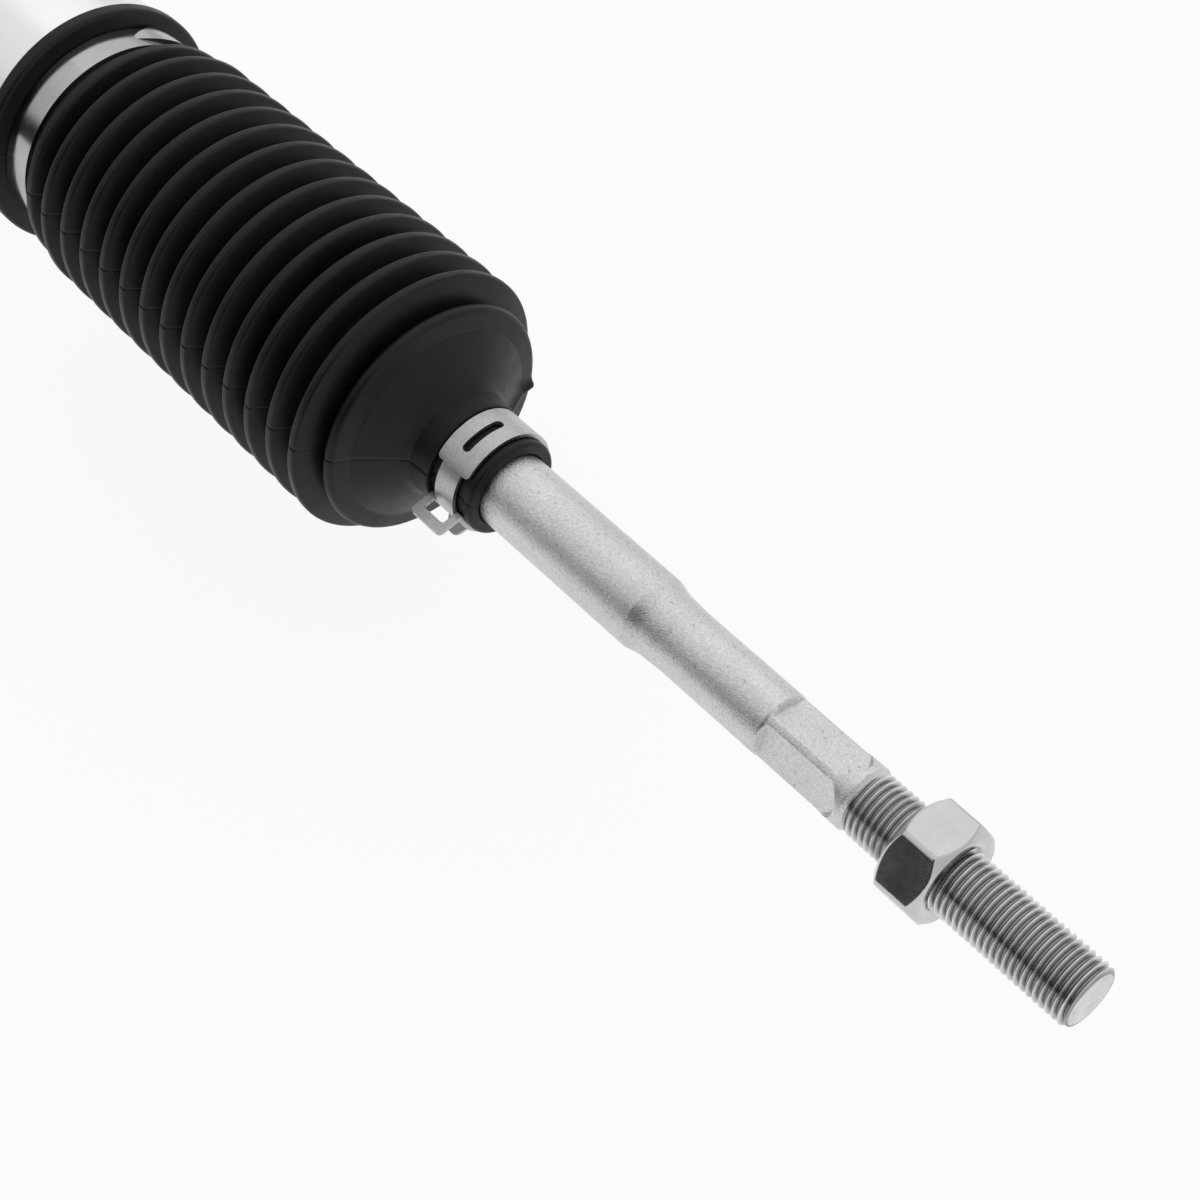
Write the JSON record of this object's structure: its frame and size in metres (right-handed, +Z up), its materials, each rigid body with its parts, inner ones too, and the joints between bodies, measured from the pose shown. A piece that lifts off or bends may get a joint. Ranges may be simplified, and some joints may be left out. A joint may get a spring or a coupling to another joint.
{
  "type": "steering rack",
  "caption": "Manual rack and pinion steering gear: tubular housing with mounting eyes, sliding toothed rack, splined input shaft, bellows boots and threaded ball-jointed tie rods.",
  "frame": {"origin": "midway between the two mounting eyes, on their common bolt line's plane", "axes": "+X along the rack towards the pictured boot, +Y along the mounting bolts away from the pinion side, +Z up towards the input shaft"},
  "size_m": [1.15, 0.0944, 0.1435],
  "materials": {
    "cast_aluminium": "shot-blasted cast aluminium",
    "machined_aluminium": "turned aluminium",
    "boot_rubber": "moulded black rubber, soft sheen",
    "bush_rubber": "bonded black rubber",
    "seal_rubber": "moulded black rubber",
    "blasted_steel": "zinc over shot-blasted steel",
    "bright_zinc": "bright zinc plate",
    "dull_zinc": "dull zinc plate",
    "zinc_steel": "zinc plated steel",
    "stainless_band": "polished stainless band",
    "forged_steel": "machined forged steel",
    "ground_steel": "ground steel",
    "bearing_steel": "polished bearing steel",
    "spring_steel": "oiled spring steel",
    "acetal": "white acetal"
  },
  "bodies": {
    "housing": {"housing": "cast_aluminium", "mount_bush_rubbers": "bush_rubber", "mount_bush_sleeves": "zinc_steel", "rack_bush": "acetal", "rack_bush_snap_ring": "spring_steel", "pinion_bearing_balls": "bearing_steel", "pinion_bearing_outer_race": "bearing_steel", "pinion_lower_bearing": "bearing_steel", "tower_end_plug": "zinc_steel", "tower_cap": "machined_aluminium", "pinion_shaft_seal": "seal_rubber", "pinion_dust_cover": "seal_rubber", "rack_yoke": "machined_aluminium", "rack_yoke_liner": "acetal", "rack_yoke_ring": "seal_rubber", "rack_yoke_spring": "spring_steel", "rack_yoke_plug": "machined_aluminium", "rack_yoke_locknut": "zinc_steel", "boot_right": "boot_rubber", "boot_band_clamp_right": "stainless_band", "boot_left": "boot_rubber", "boot_band_clamp_left": "stainless_band"},
    "rack": {"rack": "ground_steel", "lock_washer_right": "zinc_steel", "lock_washer_left": "zinc_steel", "ball_socket_right": "forged_steel", "ball_socket_left": "forged_steel"},
    "pinion": {"pinion": "ground_steel", "pinion_bearing_inner_race": "bearing_steel"},
    "right_ball_seat": {"ball_seat_right": "acetal"},
    "right_tie_rod": {"tie_rod_right": "blasted_steel", "jam_nut_right": "bright_zinc", "boot_spring_clamp_right": "dull_zinc"},
    "left_ball_seat": {"ball_seat_left": "acetal"},
    "left_tie_rod": {"tie_rod_left": "blasted_steel", "jam_nut_left": "bright_zinc", "boot_spring_clamp_left": "dull_zinc"}
  },
  "joints": [
    {"name": "rack_slide", "type": "slide", "parent": "housing", "child": "rack", "axis": [1, 0, 0], "range_m": [-0.056, 0.056], "deforming": ["boot_right", "boot_left"]},
    {"name": "pinion_turn", "type": "hinge", "parent": "housing", "child": "pinion", "pos_m": [-0.218, -0.0154, 0.04], "axis": [0.2079, 0, 0.9781], "range_deg": [-393.01, 393.01]},
    {"name": "tie_rod_right_swing", "type": "hinge", "parent": "rack", "child": "right_ball_seat", "pos_m": [0.351, 0, 0.04], "axis": [0, 1, 0], "range_deg": [-20, 20]},
    {"name": "tie_rod_right_sweep", "type": "hinge", "parent": "right_ball_seat", "child": "right_tie_rod", "pos_m": [0.351, 0, 0.04], "axis": [0, 0, 1], "range_deg": [-10, 10]},
    {"name": "tie_rod_left_swing", "type": "hinge", "parent": "rack", "child": "left_ball_seat", "pos_m": [-0.351, 0, 0.04], "axis": [0, 1, 0], "range_deg": [-20, 20]},
    {"name": "tie_rod_left_sweep", "type": "hinge", "parent": "left_ball_seat", "child": "left_tie_rod", "pos_m": [-0.351, 0, 0.04], "axis": [0, 0, 1], "range_deg": [-10, 10]}
  ],
  "couplings": [
    {"joint": "pinion_turn", "follows": "rack_slide", "rad_per_m": -122.27}
  ]
}
